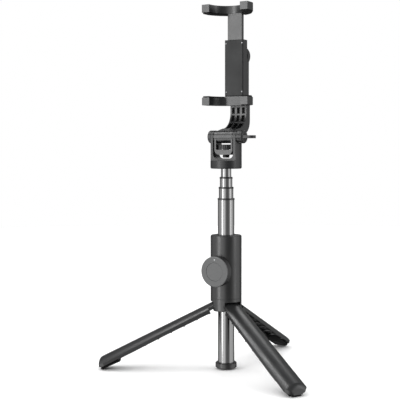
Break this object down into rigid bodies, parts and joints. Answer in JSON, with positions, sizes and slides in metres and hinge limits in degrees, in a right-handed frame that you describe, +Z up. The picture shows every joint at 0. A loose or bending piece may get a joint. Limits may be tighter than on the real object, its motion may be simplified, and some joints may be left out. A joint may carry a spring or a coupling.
{
  "type": "selfie stick tripod",
  "caption": "Telescopic pole on folding tripod legs with a tilting, swivelling phone clamp, a captive camera screw and a round detachable remote.",
  "frame": {"origin": "on the pole's axis, at the level of the floor the three foot pads stand on", "axes": "+Z up along the pole, -Y the side that faces the user with the phone screen and remote, +X to the right seen from that side"},
  "size_m": [0.198, 0.1727, 0.3155],
  "materials": {
    "body_plastic": "fine satin texture, near black",
    "head_plastic": "satin, near black",
    "arm_plastic": "satin, near black, moulded pockets",
    "clamp_plastic": "satin, near black",
    "leg_plastic": "satin, near black",
    "tube_steel": "polished stainless steel, faint drawn grain",
    "collar_plastic": "black",
    "nylon": "natural nylon",
    "black_nylon": "black nylon",
    "steel": "zinc plated",
    "black_steel": "black oxide",
    "spring_steel": "spring wire",
    "brass": "turned brass",
    "pad_rubber": "matt rubber",
    "remote_grey": "satin mid grey",
    "remote_key": "satin mid grey",
    "remote_rim": "satin, near black",
    "board": "solder mask green",
    "light_pipe": "translucent white"
  },
  "bodies": {
    "stand": {"body_sleeve": "body_plastic", "leg_hub": "body_plastic", "leg_pins": "black_steel", "column_bush_upper": "nylon", "column_bush_lower": "nylon", "remote_dock": "body_plastic"},
    "leg_1": {"leg_shell_1": "leg_plastic", "foot_pad_1": "pad_rubber"},
    "leg_2": {"leg_shell_2": "leg_plastic", "foot_pad_2": "pad_rubber"},
    "leg_3": {"leg_shell_3": "leg_plastic", "foot_pad_3": "pad_rubber"},
    "column": {"tube_1": "tube_steel", "end_cap": "collar_plastic", "stage_collar_1": "collar_plastic"},
    "stage_2": {"tube_2": "tube_steel", "slipper_2": "nylon", "stage_collar_2": "collar_plastic"},
    "stage_3": {"tube_3": "tube_steel", "slipper_3": "nylon", "stage_collar_3": "collar_plastic"},
    "head": {"tube_4": "tube_steel", "slipper_4": "nylon", "head_fork": "head_plastic", "head_plug": "black_nylon", "head_screw": "steel", "hinge_bolt": "steel", "bolt_cap": "head_plastic", "friction_washers": "black_nylon"},
    "knob": {"tilt_knob": "head_plastic", "knob_nut": "brass"},
    "arm": {"arm_bracket": "arm_plastic", "swivel_rivet": "steel", "swivel_cap": "arm_plastic", "swivel_washer": "nylon"},
    "camera_screw": {"camera_stud": "steel", "camera_wheel": "head_plastic"},
    "clamp": {"clamp_body": "clamp_plastic", "clamp_cover": "clamp_plastic", "cover_screws": "steel", "lower_jaw_pad": "pad_rubber", "clamp_spring": "spring_steel"},
    "upper_jaw": {"upper_jaw": "clamp_plastic", "upper_jaw_pad": "pad_rubber"},
    "remote": {"remote_front_case": "remote_grey", "remote_back_case": "remote_rim", "remote_board": "board", "remote_cell": "steel", "remote_contact": "spring_steel", "remote_dome": "steel", "remote_light_pipe": "light_pipe"},
    "button": {"remote_button": "remote_key"}
  },
  "joints": [
    {"name": "leg_1_fold", "type": "hinge", "parent": "stand", "child": "leg_1", "pos_m": [0, 0.0102, 0.0559], "axis": [-1, 0, 0], "range_deg": [0, 63.6]},
    {"name": "leg_2_fold", "type": "hinge", "parent": "stand", "child": "leg_2", "pos_m": [-0.00883, -0.0051, 0.0559], "axis": [0.5, -0.866, 0], "range_deg": [0, 63.6]},
    {"name": "leg_3_fold", "type": "hinge", "parent": "stand", "child": "leg_3", "pos_m": [0.00883, -0.0051, 0.0559], "axis": [0.5, 0.866, 0], "range_deg": [0, 63.6]},
    {"name": "column_slide", "type": "slide", "parent": "stand", "child": "column", "axis": [0, 0, 1], "range_m": [-0.029, 0.039]},
    {"name": "stage_2_slide", "type": "slide", "parent": "column", "child": "stage_2", "axis": [0, 0, 1], "range_m": [-0.0075, 0.11]},
    {"name": "stage_3_slide", "type": "slide", "parent": "stage_2", "child": "stage_3", "axis": [0, 0, 1], "range_m": [-0.0065, 0.11]},
    {"name": "stage_4_slide", "type": "slide", "parent": "stage_3", "child": "head", "axis": [0, 0, 1], "range_m": [-0.0065, 0.11]},
    {"name": "tilt_knob_turn", "type": "hinge", "parent": "head", "child": "knob", "pos_m": [0.015, 0, 0.20165], "axis": [1, 0, 0], "range_deg": [-20, 340]},
    {"name": "head_tilt", "type": "hinge", "parent": "head", "child": "arm", "pos_m": [0, 0, 0.20165], "axis": [1, 0, 0], "range_deg": [-45, 170]},
    {"name": "camera_screw_turn", "type": "hinge", "parent": "arm", "child": "camera_screw", "pos_m": [0, 0, 0.19], "axis": [0, 0, 1], "continuous": true},
    {"name": "clamp_swivel", "type": "hinge", "parent": "arm", "child": "clamp", "pos_m": [0, 0.0215, 0.27235], "axis": [0, 1, 0], "range_deg": [-90, 90]},
    {"name": "jaw_slide", "type": "slide", "parent": "clamp", "child": "upper_jaw", "axis": [0, 0, 1], "range_m": [-0.017, 0.014], "deforming": ["clamp_spring"]},
    {"name": "remote_release", "type": "slide", "parent": "stand", "child": "remote", "axis": [0, -1, 0], "range_m": [0, 0.03]},
    {"name": "button_press", "type": "slide", "parent": "remote", "child": "button", "axis": [0, 1, 0], "range_m": [0, 0.0003], "stiffness_N_per_m": 1500}
  ]
}
